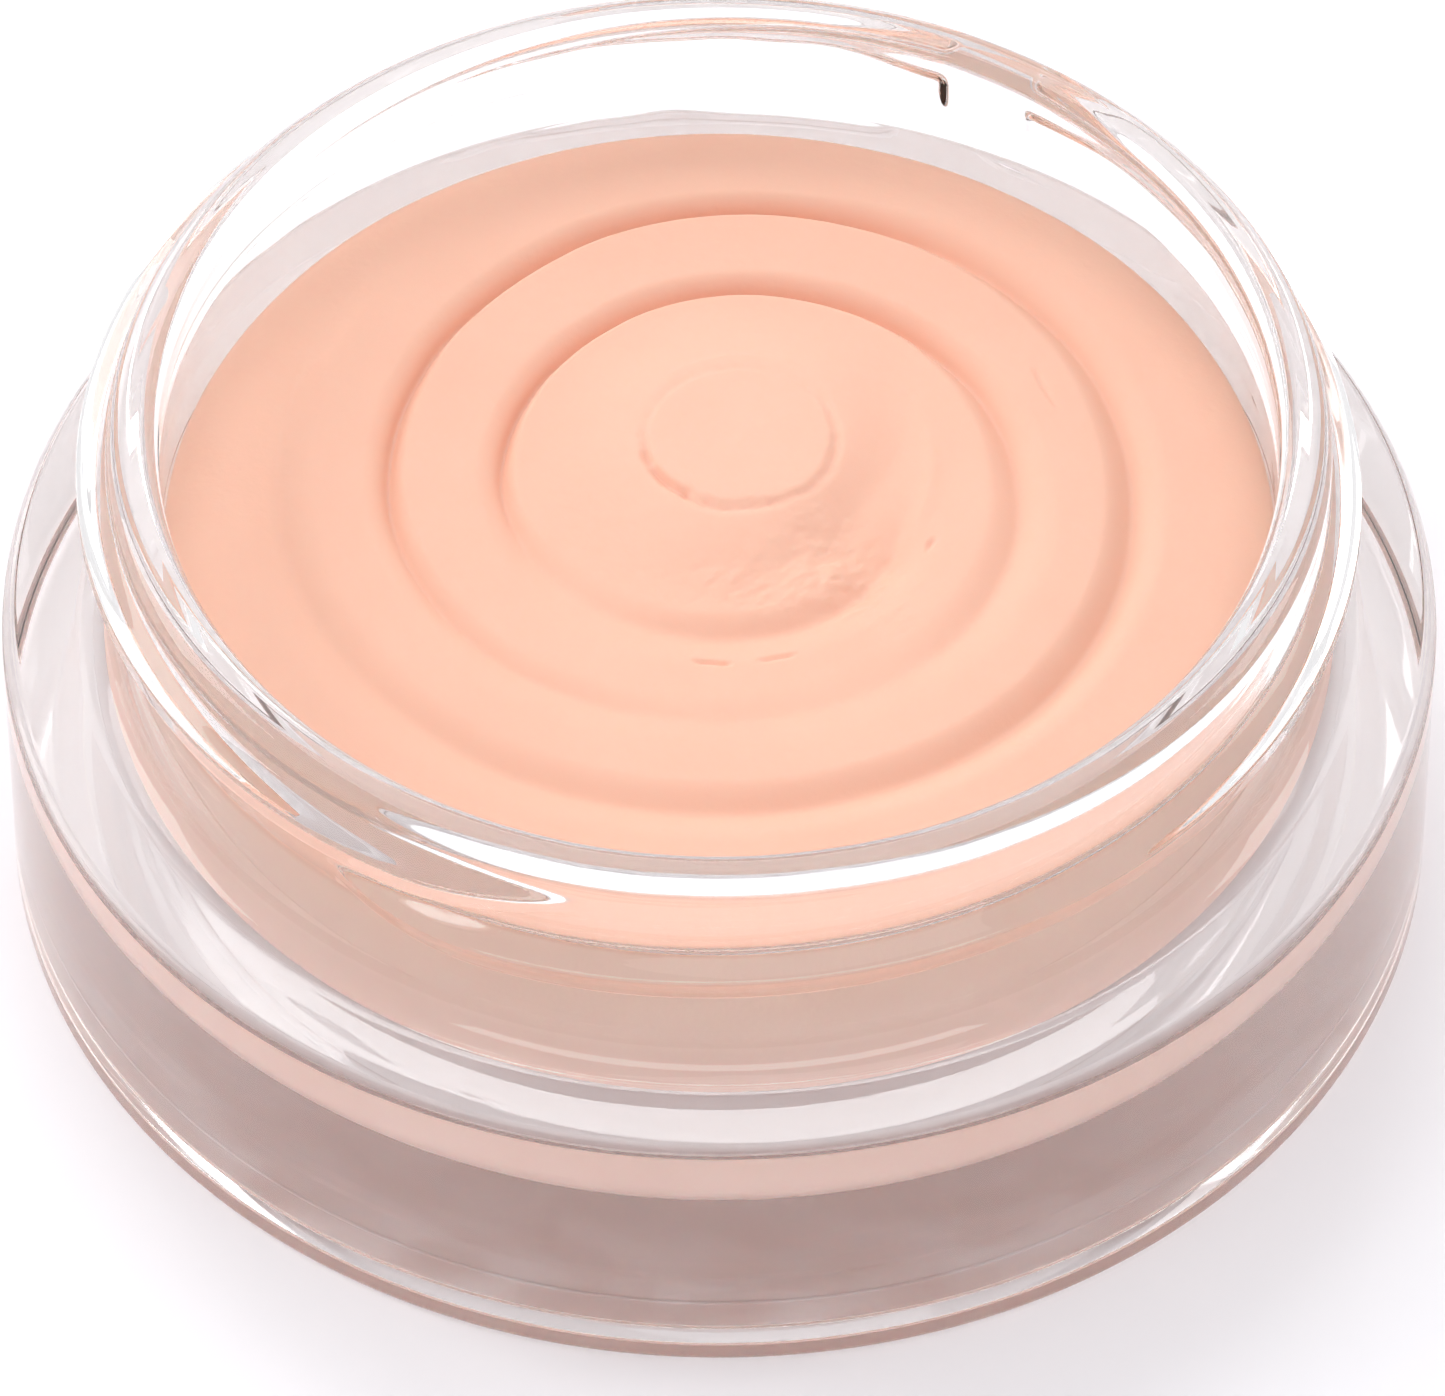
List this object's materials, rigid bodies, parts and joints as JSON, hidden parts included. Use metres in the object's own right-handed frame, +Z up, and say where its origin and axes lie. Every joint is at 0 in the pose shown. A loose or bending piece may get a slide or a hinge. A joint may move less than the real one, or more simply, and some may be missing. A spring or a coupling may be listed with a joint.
{
  "type": "cream jar",
  "caption": "Open round glass jar with a threaded neck and a heavy base, filled with soft cream whose top is stepped in a flat swirl.",
  "frame": {"origin": "centre of the ring foot, on the plane the jar stands on", "axes": "+Z up along the jar's axis towards the open mouth; the thread's upper end lies 103 degrees clockwise from +X seen from above, near -Y"},
  "size_m": [0.0532, 0.0532, 0.0216],
  "materials": {
    "clear_glass": "clear pressed glass, fire polished, very smooth",
    "cream": "matte whipped cream, peach, soft and slightly translucent"
  },
  "bodies": {
    "root": {"jar_body": "clear_glass", "cream_fill": "cream"}
  },
  "joints": []
}
